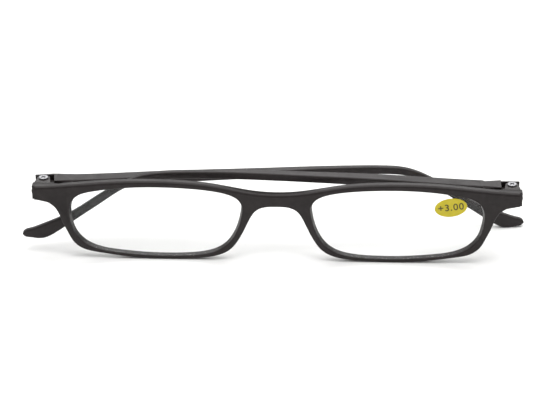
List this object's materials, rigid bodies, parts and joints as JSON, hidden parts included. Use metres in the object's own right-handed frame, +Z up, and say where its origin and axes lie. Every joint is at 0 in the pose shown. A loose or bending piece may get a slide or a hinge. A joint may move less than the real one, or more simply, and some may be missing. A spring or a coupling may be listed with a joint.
{
  "type": "reading glasses",
  "caption": "Slim rectangular half-eye reading glasses in matte dark plastic, folded, with clear lenses and hinged temples.",
  "frame": {"origin": "middle of the bottom of the folded pair's box, on the surface it stands on", "axes": "+X to the wearer's left, -Y the way the lenses face, +Z up; the front stands upright on its lower rims and the rear temple's tip"},
  "size_m": [0.1396, 0.0244, 0.0243],
  "materials": {
    "frame_plastic": "matte, slightly soft to the touch, warm grey-black",
    "lens_clear": "clear and polished",
    "sticker_film": "yellow translucent film",
    "screw_steel": "bright zinc-plated steel",
    "insert_brass": "turned brass"
  },
  "bodies": {
    "front": {"front_frame": "frame_plastic", "lens_left": "lens_clear", "lens_right": "lens_clear", "power_sticker": "sticker_film", "hinge_screw_left": "screw_steel", "hinge_screw_right": "screw_steel", "hinge_insert_left": "insert_brass", "hinge_insert_right": "insert_brass"},
    "temple_left": {"temple_left": "frame_plastic"},
    "temple_right": {"temple_right": "frame_plastic"}
  },
  "joints": [
    {"name": "temple_left_hinge", "type": "hinge", "parent": "front", "child": "temple_left", "pos_m": [0.06432, -0.00639, 0.02145], "axis": [0, 0, -1], "range_deg": [0, 91.5]},
    {"name": "temple_right_hinge", "type": "hinge", "parent": "front", "child": "temple_right", "pos_m": [-0.06328, -0.00639, 0.02145], "axis": [0, 0, 1], "range_deg": [0, 83.8]}
  ]
}
